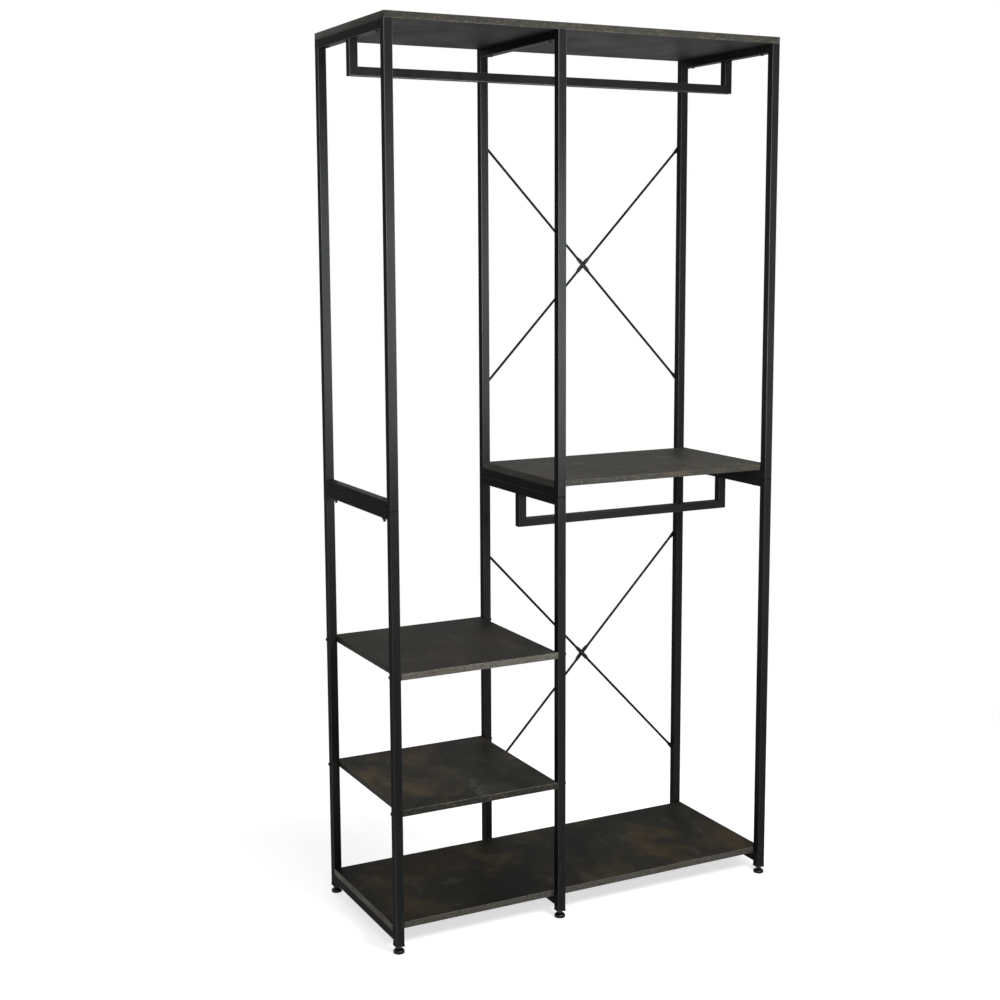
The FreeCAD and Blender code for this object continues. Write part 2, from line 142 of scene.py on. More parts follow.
@dataclass
class Surface:
    """Points and faces of one or more closed shells.

    Attributes:
        points: Array of shape (n, 3).
        faces: Point numbers of each face.
        marks: Named values on the points, each an array of shape (n,).
    """

    points: np.ndarray
    faces: list[list[int]]
    marks: dict[str, np.ndarray] = field(default_factory=dict)

    @classmethod
    def skin(
        cls, rings: np.ndarray, hoop: bool = False, marks: Optional[dict[str, np.ndarray]] = None
    ) -> Surface:
        """Skins a grid of rings: face (j, i) joins places i and i + 1 of rings j and j + 1.

        Args:
            rings: Array of shape (rings, places, 3). The last place of a ring joins the first.
            hoop: True where the last ring joins the first. Otherwise the end rings are filled.
            marks: Named values of shape (rings, places).

        Returns:
            The closed surface.
        """
        count, places = rings.shape[:2]
        near = np.arange(count if hoop else count - 1)[:, None] * places
        far = (near + places) % (count * places)
        here = np.arange(places)[None, :]
        there = (here + 1) % places
        quads = np.stack([near + here, near + there, far + there, far + here], axis=-1)
        faces = quads.reshape(-1, 4).tolist()
        if not hoop:
            faces.append(list(range(places))[::-1])
            faces.append(list(range((count - 1) * places, count * places)))
        flat = {name: values.ravel() for name, values in (marks or {}).items()}
        return cls(rings.reshape(-1, 3), faces, flat)

    @classmethod
    def joined(cls, parts: Sequence[Surface]) -> Surface:
        """Puts several surfaces into one, with their point numbers moved on.

        Args:
            parts: Surfaces that have the same marks.

        Returns:
            One surface that holds them all.
        """
        starts = np.cumsum([0] + [len(part.points) for part in parts])
        faces = [
            (np.array(face) + start).tolist()
            for part, start in zip(parts, starts)
            for face in part.faces
        ]
        marks = {name: np.concatenate([part.marks[name] for part in parts]) for name in parts[0].marks}
        return cls(np.concatenate([part.points for part in parts]), faces, marks)

    def to_object(self, name: str, sharp_deg: float = 38.0) -> bpy.types.Object:
        """Makes the surface a mesh object at the origin, with its faces pointing outwards.

        Args:
            name: Name of the piece.
            sharp_deg: Edges that turn more than this stay sharp.

        Returns:
            The object, in the scene.
        """
        mesh = bpy.data.meshes.new(name)
        mesh.from_pydata(self.points.tolist(), [], self.faces)
        for mark, values in self.marks.items():
            mesh.attributes.new(mark, "FLOAT", "POINT").data.foreach_set("value", values.astype(np.float32))
        work = bmesh.new()
        work.from_mesh(mesh)
        bmesh.ops.remove_doubles(work, verts=work.verts, dist=MERGE_DISTANCE)
        bmesh.ops.recalc_face_normals(work, faces=work.faces)
        work.to_mesh(mesh)
        work.free()
        mesh.shade_smooth()
        mesh.set_sharp_from_angle(angle=math.radians(sharp_deg))
        made = bpy.data.objects.new(name, mesh)
        bpy.context.scene.collection.objects.link(made)
        return made


class NodeBench:
    """A bench on which the nodes of one tree are laid out and joined."""

    def __init__(self, tree: bpy.types.NodeTree) -> None:
        """Starts with an empty tree.

        Args:
            tree: Tree of a material or of a world.
        """
        self.tree = tree
        self.tree.nodes.clear()

    def add(self, kind: str, **settings: object) -> bpy.types.Node:
        """Adds a node.

        Args:
            kind: Blender's name of the node.
            settings: Properties to set on it.

        Returns:
            The node.
        """
        node = self.tree.nodes.new(kind)
        for name, value in settings.items():
            setattr(node, name, value)
        return node

    def feed(self, socket: Socket, value: Value) -> None:
        """Joins an output to a socket, or writes a value on it.

        Args:
            socket: Input to fill.
            value: Another node's output, a number, several numbers or a written colour.
        """
        if isinstance(value, bpy.types.NodeSocket):
            self.tree.links.new(value, socket)
        else:
            socket.default_value = linear(value) if isinstance(value, str) else value

    def out(self, kind: str, inputs: dict[Key, Value], output: Key = 0, **settings: object) -> Socket:
        """Adds a node and fills its inputs.

        Args:
            kind: Blender's name of the node.
            inputs: Value of each input, under its number or name.
            output: Number or name of the output to give.
            settings: Properties to set on the node.

        Returns:
            The output.
        """
        node = self.add(kind, **settings)
        for key, value in inputs.items():
            self.feed(node.inputs[key], value)
        return node.outputs[output]

    def math(self, operation: str, first: Value, second: Value = 0.0) -> Socket:
        """Result of one math operation, under Blender's name, on one or two numbers."""
        return self.out("ShaderNodeMath", {0: first, 1: second}, operation=operation)

    def times(self, first: Value, second: Value) -> Socket:
        """Product of two numbers."""
        return self.math("MULTIPLY", first, second)

    def step(self, value: Value, low: float, high: float, start: float = 0.0, end: float = 1.0) -> Socket:
        """Smooth step of a value: start at low and before it, end at high, which may be below low."""
        levels = dict(enumerate((value, low, high, start, end)))
        return self.out("ShaderNodeMapRange", levels, interpolation_type="SMOOTHSTEP")

    def over(self, noise: Value, start: float = 0.0, end: float = 1.0) -> Socket:
        """Smooth step over the middle levels of a noise, from start to end."""
        return self.step(noise, *NOISE_MIDDLE, start, end)

    def mix(self, share: Value, first: Value, second: Value) -> Socket:
        """Blend of two colours, by the share of the second."""
        return self.out("ShaderNodeMix", {0: share, 6: first, 7: second}, 2, data_type="RGBA")

    def tones(self, noise: Value, first: Value, second: Value) -> Socket:
        """Blend of two colours over the middle levels of a noise."""
        return self.mix(self.over(noise), first, second)


class ShaderBench(NodeBench):
    """A bench for one material with a principled shader."""

    def __init__(self, name: str) -> None:
        """Starts the material.

        Args:
            name: Name of the material.
        """
        self.material = bpy.data.materials.new(name)
        self.material.use_nodes = True
        super().__init__(self.material.node_tree)
        self.output = self.add("ShaderNodeOutputMaterial")
        self.shader = self.add("ShaderNodeBsdfPrincipled")
        self.place = self.add("ShaderNodeTexCoord")
        self.feed(self.output.inputs["Surface"], self.shader.outputs["BSDF"])

    def set(self, **values: Value) -> None:
        """Fills sockets of the shader; an underscore in a name stands for a space.

        Args:
            values: Value of each socket, under its name.
        """
        for name, value in values.items():
            self.feed(self.shader.inputs[name.replace("_", " ")], value)

    def noise(
        self,
        size: float,
        detail: float = 2.0,
        rough: float = 0.5,
        stretch: Sequence[float] = (1.0, 1.0, 1.0),
        twist: float = 0.0,
    ) -> Socket:
        """Cloudy noise over the piece's own coordinates.

        Args:
            size: Width of a cloud, in metres.
            detail: Octaves of finer noise.
            rough: Share that each finer octave keeps.
            stretch: How many times a cloud is longer along each axis.
            twist: How far the clouds swirl.

        Returns:
            The level, around a half.
        """
        scale = [1.0 / (size * times) for times in stretch]
        place = self.out("ShaderNodeMapping", {"Vector": self.place.outputs["Object"], "Scale": scale})
        levels = {"Vector": place, "Scale": 1.0, "Detail": detail, "Roughness": rough, "Distortion": twist}
        return self.out("ShaderNodeTexNoise", levels)

    def mark(self, name: str) -> Socket:
        """Value that a piece carries on its points, under a name."""
        return self.add("ShaderNodeAttribute", attribute_name=name).outputs["Fac"]

    def axis(self, source: str, index: int) -> Socket:
        """One coordinate of the place or the normal: 0 for X, 1 for Y, 2 for Z."""
        return self.out("ShaderNodeSeparateXYZ", {0: self.place.outputs[source]}, index)

    def corner(self, flat: float = 0.985, round_off: float = 0.88) -> Socket:
        """How far a point lies on a rounded corner: 1 where its normal leaves all three axes.

        Args:
            flat: Largest part of the normal on a flat face.
            round_off: Largest part of the normal well into a corner.

        Returns:
            The mask, 0 on flat faces.
        """
        parts = [self.math("ABSOLUTE", self.axis("Normal", index)) for index in range(3)]
        largest = self.math("MAXIMUM", self.math("MAXIMUM", parts[0], parts[1]), parts[2])
        return self.step(largest, flat, round_off)

    def bump(self, height: Value, strength: float, depth: float) -> None:
        """Roughens the shader's normal.

        Args:
            height: Height over the surface, from 0 to 1.
            strength: Share of the bump that shows.
            depth: Height of a full bump, in metres.
        """
        levels = {"Strength": strength, "Distance": depth, "Height": height}
        self.set(Normal=self.out("ShaderNodeBump", levels))


@dataclass(frozen=True)
class Finish(ABC):
    """A finish that pieces are dressed with.

    Attributes:
        roughness: Roughness at the low and at the high levels of the finish's noise.
        metal: Metallic share.
        specular: Gloss of the clear share.
        sheen: Level of the gloss at a glancing angle.
    """

    slot: ClassVar[Slot]
    title: ClassVar[str]
    roughness: tuple[float, float] = (0.5, 0.5)
    metal: float = 0.0
    specular: float = 0.5
    sheen: float = 1.0

    def material(self) -> bpy.types.Material:
        """Material of the finish, made at its first use.

        Returns:
            The material.
        """
        found = bpy.data.materials.get(self.title)
        if found is None:
            bench = ShaderBench(self.title)
            self.lay(bench)
            found = bench.material
        return found

    @abstractmethod
    def lay(self, bench: ShaderBench) -> None:
        """Lays the finish's nodes out on a bench."""

    def seal(self, bench: ShaderBench, colour: Socket, rough: Socket) -> None:
        """Gives the shader its colour, roughness and gloss.

        Args:
            bench: Bench of the finish.
            colour: Finished colour.
            rough: Finished roughness.
        """
        bench.set(Base_Color=colour, Roughness=rough, Metallic=self.metal)
        bench.set(Specular_IOR_Level=self.specular, Specular_Tint=grey(self.sheen))

    def dress(self, piece: bpy.types.Object) -> None:
        """Gives a piece this finish and no other."""
        piece.data.materials.clear()
        piece.data.materials.append(self.material())


@dataclass(frozen=True)
class PowderCoat(Finish):
    """Satin black powder coat: fine peel, cloudy tone, a painted highlight on its corners and scuffs near
    the floor.

    Attributes:
        deep: Darker clouds.
        light: Lighter clouds.
        edge: Painted highlight on the rounded corners.
        scuff: Scuffs.
        seam: Shadow line between the halves.
        seam_z: Height of that line.
        seam_reach: Distances from it where its colour starts and is full.
        rail_end_y: Distance from the middle past which an upright shows it.
        highlight_z: Heights between which the painted highlight on the corners grows.
        highlight_x: Places between which it grows, from right to left.
        least_highlight: Least share of that highlight low down, and at the right.
        scuffed_z: Heights between which the scuffs grow, downwards.
        scuffs: Share of the scuffs higher up, and share of their colour.
    """

    slot: ClassVar[Slot] = Slot.FRAME
    title: ClassVar[str] = "satin_powder_coat"
    deep: str = "#1d1e1e"
    light: str = "#232424"
    edge: str = "#727473"
    scuff: str = "#424240"
    seam: str = "#0c0d0d"
    seam_z: float = 0.996
    seam_reach: tuple[float, float] = (0.0018, 0.0006)
    rail_end_y: float = 0.1795
    highlight_z: tuple[float, float] = (0.85, 1.5)
    highlight_x: tuple[float, float] = (0.45, 0.2)
    least_highlight: tuple[float, float] = (0.25, 0.3)
    scuffed_z: tuple[float, float] = (0.16, 0.03)
    scuffs: tuple[float, float] = (0.12, 0.5)
    roughness: tuple[float, float] = (0.33, 0.4)
    metal: float = 0.5
    sheen: float = 0.12
    specular: float = 0.02

    def lay(self, bench: ShaderBench) -> None:
        """Lays the coat's nodes out on a bench."""
        cloud = bench.noise(0.14, detail=4.0, stretch=(1.0, 1.0, 2.5))
        peel = bench.noise(0.0011)
        streak = bench.noise(0.006, detail=3.0, stretch=(1.0, 1.0, 6.0))
        place_x, place_y, place_z = (bench.axis("Object", index) for index in range(3))
        colour = bench.tones(cloud, self.deep, self.light)
        everywhere, share = self.scuffs
        low = bench.math("ADD", bench.step(place_z, *self.scuffed_z), everywhere)
        scuffed = bench.times(bench.step(streak, 0.58, 0.7), low)
        colour = bench.mix(bench.times(scuffed, share), colour, self.scuff)
        # Painted highlight on the rounded corners: strongest high up and at the left, where the lamps fall
        # on them, weaker low down and at the right.
        least_low, least_right = self.least_highlight
        upper = bench.step(place_z, *self.highlight_z, least_low)
        highlight_reach = bench.times(upper, bench.step(place_x, *self.highlight_x, least_right))
        corner_highlight = bench.times(highlight_reach, bench.step(cloud, 0.2, 0.75, 0.6, 1.0))
        colour = bench.mix(bench.times(bench.corner(), corner_highlight), colour, self.edge)
        off_seam = bench.math("ABSOLUTE", bench.math("SUBTRACT", place_z, self.seam_z))
        past_rail = bench.math("GREATER_THAN", bench.math("ABSOLUTE", place_y), self.rail_end_y)
        seam = bench.times(bench.step(off_seam, *self.seam_reach), past_rail)
        colour = bench.mix(seam, colour, self.seam)
        rough = bench.math("ADD", bench.step(cloud, 0.25, 0.75, *self.roughness), bench.times(scuffed, 0.15))
        self.seal(bench, colour, rough)
        bench.bump(peel, 0.22, 0.00012)


@dataclass(frozen=True)
class WeldCoat(PowderCoat):
    """The same coat over weld beads, without the painted highlight on the corners."""

    title: ClassVar[str] = "satin_weld_coat"
    # The coat's own dark colour on the corners, so the beads get no painted highlight.
    edge: str = "#1f2020"


@dataclass(frozen=True)
class RodCoat(Finish):
    """Satin black on drawn rod: a cloudy tone with fine pits, brighter where it was pressed flat."""

    slot: ClassVar[Slot] = Slot.ROD
    title: ClassVar[str] = "satin_rod_coat"
    deep: str = "#121313"
    light: str = "#1c1d1d"
    pressed: str = "#383939"
    metal: float = 0.5
    sheen: float = 0.3
    specular: float = 0.03
    roughness: tuple[float, float] = (0.4, 0.52)

    def lay(self, bench: ShaderBench) -> None:
        """Lays the coat's nodes out on a bench."""
        cloud = bench.noise(0.05, detail=4.0)
        fine = bench.noise(0.0009)
        colour = bench.tones(cloud, self.deep, self.light)
        dents = bench.times(bench.mark("pressed"), bench.step(fine, 0.4, 0.7))
        colour = bench.mix(dents, colour, self.pressed)
        self.seal(bench, colour, bench.over(cloud, *self.roughness))
        bench.bump(fine, 0.2, 0.0001)


@dataclass(frozen=True)
class Laminate(Finish):
    """Weathered laminate: rusty clouds, dark pools and pale wipes above, plain dark grey below."""

    slot: ClassVar[Slot] = Slot.BOARD
    title: ClassVar[str] = "weathered_laminate"
    dark: str = "#161614"
    ground: str = "#33322d"
    rust: str = "#4f4432"
    pale: str = "#5a5850"
    below: str = "#1f1f1f"
    below_light: str = "#242423"
    specular: float = 0.02
    roughness: tuple[float, float] = (0.5, 0.62)

    def lay(self, bench: ShaderBench) -> None:
        """Lays the laminate's nodes out on a bench."""
        pools = bench.noise(0.15, detail=6.0, rough=0.58, stretch=(1.0, 1.4, 1.0), twist=0.35)
        clouds = bench.noise(0.17, detail=5.0, rough=0.58, stretch=(1.0, 1.4, 3.0), twist=0.6)
        wipes = bench.noise(0.05, detail=5.0, rough=0.62, stretch=(1.0, 1.5, 1.0), twist=0.5)
        grain = bench.noise(0.0022, detail=3.0, rough=0.65)
        colour = bench.mix(bench.step(pools, 0.34, 0.66), self.dark, self.ground)
        rusty = bench.times(bench.step(clouds, 0.46, 0.68), bench.step(wipes, 0.3, 0.62, 0.35, 0.85))
        colour = bench.mix(bench.times(rusty, bench.mark("rust")), colour, self.rust)
        wiped = bench.times(bench.step(wipes, 0.54, 0.74), bench.step(pools, 0.4, 0.62, 0.1, 0.6))
        colour = bench.mix(wiped, colour, self.pale)
        colour = bench.mix(bench.step(grain, 0.52, 0.8, 0.0, 0.35), colour, self.dark)
        # The mark tone darkens the top faces of the boards that get less light: painted shade.
        colour = bench.mix(bench.mark("tone"), grey(0.0), colour)
        plain = bench.mix(bench.step(grain, 0.35, 0.65), self.below, self.below_light)
        under = bench.step(bench.axis("Normal", 2), -0.4, -0.7)
        self.seal(bench, bench.mix(under, colour, plain), bench.over(pools, *self.roughness))
        bench.bump(grain, 0.16, 0.00018)


@dataclass(frozen=True)
class EdgeBand(Finish):
    """Printed edge band: grey brown with flecks, in its own tone on each board, which partly stands for the
    light on that board as painted shade, and with a pale line along its corners that is partly wear and
    partly painted highlight.
    """

    slot: ClassVar[Slot] = Slot.BOARD
    title: ClassVar[str] = "printed_edge_band"
    dark: str = "#262623"
    light: str = "#5a5752"
    warm: str = "#443d31"
    fleck: str = "#21211e"
    rub_and_highlight: str = "#7b796e"
    specular: float = 0.05
    roughness: tuple[float, float] = (0.45, 0.6)

    def lay(self, bench: ShaderBench) -> None:
        """Lays the band's nodes out on a bench."""
        tone = bench.noise(0.045, detail=4.0, rough=0.6, stretch=(1.5, 1.5, 0.6))
        flecks = bench.noise(0.006, detail=3.0, rough=0.6, stretch=(1.2, 1.2, 0.7))
        grain = bench.noise(0.0012)
        # The mark tone sets each board's band between the dark and the light print; its level on each board
        # partly stands for the light on that band: painted shade.
        colour = bench.mix(bench.mark("tone"), self.dark, self.light)
        colour = bench.mix(bench.step(tone, 0.46, 0.62, 0.0, 0.4), colour, self.warm)
        colour = bench.mix(bench.step(flecks, 0.5, 0.66, 0.0, 0.5), colour, self.fleck)
        colour = bench.mix(bench.step(flecks, 0.46, 0.34, 0.0, 0.16), colour, self.rub_and_highlight)
        # Along the band's corners: below 0 the mark arris draws a dark line, above 0 a pale line that is
        # partly wear and partly painted highlight.
        arris = bench.mark("arris")
        colour = bench.mix(bench.times(arris, -1.0), colour, self.fleck)
        rub_and_highlight = bench.times(arris, bench.over(tone, 0.2, 0.8))
        colour = bench.mix(rub_and_highlight, colour, self.rub_and_highlight)
        self.seal(bench, colour, bench.over(tone, *self.roughness))
        bench.bump(grain, 0.15, 0.0001)


@dataclass(frozen=True)
class BlackZinc(Finish):
    """Black zinc on bolts, screws, nuts and rivets: a little blue, worn to grey in specks."""

    slot: ClassVar[Slot] = Slot.FASTENER
    title: ClassVar[str] = "black_zinc"
    deep: str = "#101112"
    light: str = "#1a1b1d"
    worn: str = "#3e3f42"
    metal: float = 0.25
    specular: float = 0.2
    roughness: tuple[float, float] = (0.34, 0.48)

    def lay(self, bench: ShaderBench) -> None:
        """Lays the plating's nodes out on a bench."""
        cloud = bench.noise(0.004, detail=3.0)
        fine = bench.noise(0.0006)
        colour = bench.tones(cloud, self.deep, self.light)
        colour = bench.mix(bench.step(fine, 0.62, 0.75, 0.0, 0.6), colour, self.worn)
        self.seal(bench, colour, bench.over(cloud, *self.roughness))
        bench.bump(fine, 0.15, 0.00006)


@dataclass(frozen=True)
class GlossPlastic(Finish):
    """Glossy moulded plastic of the foot bases: deep black with a dusty rim near the floor."""

    slot: ClassVar[Slot] = Slot.FOOT
    title: ClassVar[str] = "gloss_foot_plastic"
    deep: str = "#090a0a"
    light: str = "#101111"
    dust: str = "#252524"
    dusty_z: tuple[float, float] = (0.003, 0.0004)
    specular: float = 0.2
    roughness: tuple[float, float] = (0.08, 0.14)

    def lay(self, bench: ShaderBench) -> None:
        """Lays the plastic's nodes out on a bench."""
        cloud = bench.noise(0.008, detail=3.0)
        fine = bench.noise(0.0007)
        colour = bench.tones(cloud, self.deep, self.light)
        low = bench.step(bench.axis("Object", 2), *self.dusty_z)
        dusty = bench.times(low, bench.step(fine, 0.35, 0.65, 0.2, 0.8))
        colour = bench.mix(dusty, colour, self.dust)
        self.seal(bench, colour, bench.step(cloud, 0.25, 0.75, *self.roughness))
        bench.bump(fine, 0.08, 0.00006)


@dataclass(frozen=True)
class MattPlastic(Finish):
    """Matt moulded plastic of the tube end caps: spark texture and rubbed corners."""

    slot: ClassVar[Slot] = Slot.CAP
    title: ClassVar[str] = "matt_cap_plastic"
    deep: str = "#18191a"
    light: str = "#232425"
    edge: str = "#3c3d3e"
    specular: float = 0.3
    roughness: tuple[float, float] = (0.5, 0.62)

    def lay(self, bench: ShaderBench) -> None:
        """Lays the plastic's nodes out on a bench."""
        cloud = bench.noise(0.01, detail=3.0)
        spark = bench.noise(0.0005, detail=3.0)
        colour = bench.tones(cloud, self.deep, self.light)
        colour = bench.mix(bench.times(bench.corner(), 0.7), colour, self.edge)
        self.seal(bench, colour, bench.over(cloud, *self.roughness))
        bench.bump(spark, 0.3, 0.0001)


@dataclass(frozen=True)
class StudSteel(Finish):
    """Dark zinc on the studs: grey crests where the thread has been turned."""

    slot: ClassVar[Slot] = Slot.STUD
    title: ClassVar[str] = "dark_zinc_stud"
    deep: str = "#1d1e20"
    light: str = "#303235"
    crest: str = "#8a8b8d"
    metal: float = 0.75
    roughness: tuple[float, float] = (0.3, 0.45)

    def lay(self, bench: ShaderBench) -> None:
        """Lays the plating's nodes out on a bench."""
        cloud = bench.noise(0.003, detail=3.0)
        colour = bench.tones(cloud, self.deep, self.light)
        turned = bench.times(bench.mark("crest"), bench.step(cloud, 0.35, 0.7, 0.25, 0.8))
        colour = bench.mix(turned, colour, self.crest)
        self.seal(bench, colour, bench.over(cloud, *self.roughness))


@dataclass(frozen=True)
class SpliceSteel(Finish):
    """Plain steel of the splices, with mill streaks along the tube."""

    slot: ClassVar[Slot] = Slot.SPLICE
    title: ClassVar[str] = "mill_steel"
    deep: str = "#77787a"
    light: str = "#9a9b9d"
    metal: float = 1.0
    roughness: tuple[float, float] = (0.28, 0.42)

    def lay(self, bench: ShaderBench) -> None:
        """Lays the steel's nodes out on a bench."""
        streak = bench.noise(0.002, detail=4.0, stretch=(1.0, 1.0, 12.0))
        colour = bench.tones(streak, self.deep, self.light)
        self.seal(bench, colour, bench.over(streak, *self.roughness))


FINISHES: dict[Slot, Finish] = {
    kind.slot: kind()
    for kind in (
        PowderCoat, RodCoat, Laminate, BlackZinc, GlossPlastic, MattPlastic, StudSteel, SpliceSteel
    )
}


def put(
    surface: Surface, name: str, finish: Finish, body: str = ROOT_BODY, replaces: Sequence[str] = ()
) -> None:
    """Makes a surface a piece of the wardrobe: dressed, riding on a body and in the log.

    Args:
        surface: Shape of the piece, in place.
        name: Name of the piece.
        finish: Finish to dress it with.
        body: Body that it moves with.
        replaces: CAD nodes that it stands for.
    """
    piece = surface.to_object(name)
    finish.dress(piece)
    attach(piece, body)
    if replaces:
        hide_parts(*replaces)
    LOG.info("piece %s on %s: %d points", name, body, len(piece.data.vertices))


def round_outline(
    low: np.ndarray, high: np.ndarray, radius: float, steps: int
) -> tuple[np.ndarray, np.ndarray]:
    """Rounded rectangle: a quarter circle about the centre of each corner, joined by straight runs.

    Args:
        low: Lowest X and Y.
        high: Highest X and Y.
        radius: Radius of the corners.
        steps: Points on each corner.

    Returns:
        Points of shape (n, 2), and the outward direction at each.
    """
    turn = (np.arange(4)[:, None] * math.pi / 2 + np.linspace(0.0, math.pi / 2, steps)).ravel()
    outward = np.stack([np.cos(turn), np.sin(turn)], axis=1)
    corner = np.repeat(np.array([[1, 1], [-1, 1], [-1, -1], [1, -1]]), steps, axis=0)
    return (low + high) / 2 + corner * ((high - low) / 2 - radius) + radius * outward, outward


def carried_round(outline: tuple[np.ndarray, np.ndarray], profile: np.ndarray) -> np.ndarray:
    """Profile carried round an outline: each point goes inwards by its inset and up to its height.

    Args:
        outline: Points and outward directions from round_outline.
        profile: Inset and height of each profile point, of shape (m, 2).

    Returns:
        Rings of shape (m, n, 3), one for each profile point.
    """
    points, outward = outline
    flat = points[None] - profile[:, None, :1] * outward[None]
    height = np.broadcast_to(profile[:, None, 1:], (*flat.shape[:2], 1))
    return np.concatenate([flat, height], axis=-1)


@dataclass
class Board:
    """A laminated board: a core between its two faces, and the band glued round its edge.

    Attributes:
        node: CAD node that the board stands for.
        band: Thickness of the edge band.
        arris: Radius of the band's outer corners.
        groove: Fine groove where the band meets the face.
        flush: How far the band stays below the face.
        corner: Radius of the board's corners, seen from above.
        steps: Points on a rounded corner.
        tone: Level of the print on the long edges, from dark at 0 to light at 1; on each board it partly
            stands for the light on those edges, which is painted shade.
        end_tone: Level of the print on the short edges, partly painted shade in the same way.
        face_tone: Level of the top face's print; below 1 it darkens the faces of the boards that get less
            light, which is painted shade.
        rust: How rusty the print of the top face is.
        arris_line: Line along the band's corners: above 0 a pale line, partly wear and partly painted
            highlight; below 0 a dark line.
    """

    node: str
    tone: float
    end_tone: float
    face_tone: float
    rust: float
    arris_line: float
    band: float = 0.0012
    arris: float = 0.001
    groove: float = 0.0003
    flush: float = 0.00004
    corner: float = 0.0015
    steps: int = 6

    def __post_init__(self) -> None:
        """Takes the board's place from its CAD node."""
        low, high = corners(self.node)
        self.bottom, self.top = low[2], high[2]
        self.outline = round_outline(low[:2], high[:2], self.corner, self.steps)

    def core(self) -> Surface:
        """Core: a slab within the band, with a fine bevel round both faces.

        Returns:
            The surface.
        """
        side = self.band + self.flush
        profile = np.array(
            [
                [side + self.groove, self.top],
                [side, self.top - self.groove],
                [side, self.bottom + self.groove],
                [side + self.groove, self.bottom],
            ]
        )
        rings = carried_round(self.outline, profile)
        even = np.ones(rings.shape[:2])
        return Surface.skin(rings, marks={"tone": self.face_tone * even, "rust": self.rust * even})

    def edge_band(self) -> Surface:
        """Band: a thin strip with two round outer corners, carried round the board as a hoop.

        Returns:
            The surface, with the marks arris, on its corners, and tone.
        """
        high, low = self.top - self.flush, self.bottom + self.flush
        turn = np.linspace(0.0, math.pi / 2, self.steps)
        bow, rise = self.arris * (1 - np.sin(turn)), self.arris * (1 - np.cos(turn))
        upper = np.stack([bow, high - rise], axis=1)
        lower = np.stack([bow[::-1], low + rise[::-1]], axis=1)
        inner = np.array([[self.band, low + self.groove], [self.band, high - self.groove]])
        eased = np.array([[self.band - self.groove, low], [self.band - self.groove, high]])
        profile = np.concatenate([upper, lower, eased[:1], inner, eased[1:]])
        # Pale line along the corners above 0, partly wear and partly painted highlight; dark line below 0.
        rub_and_highlight = self.arris_line * np.concatenate([np.sin(2 * turn), np.sin(2 * turn), np.zeros(4)])
        rings = carried_round(self.outline, profile)
        print_tone = self.tone + (self.end_tone - self.tone) * np.abs(self.outline[1][:, 0])
        marks = {
            "arris": np.broadcast_to(rub_and_highlight[:, None], rings.shape[:2]),
            "tone": np.broadcast_to(print_tone[None, :], rings.shape[:2]),
        }
        return Surface.skin(rings, hoop=True, marks=marks)

    def build(self) -> None:
        """Puts the core and the band in place."""
        put(self.core(), f"{self.node}_core", FINISHES[Slot.BOARD], replaces=[self.node])
        put(self.edge_band(), f"{self.node}_edge_band", EdgeBand())


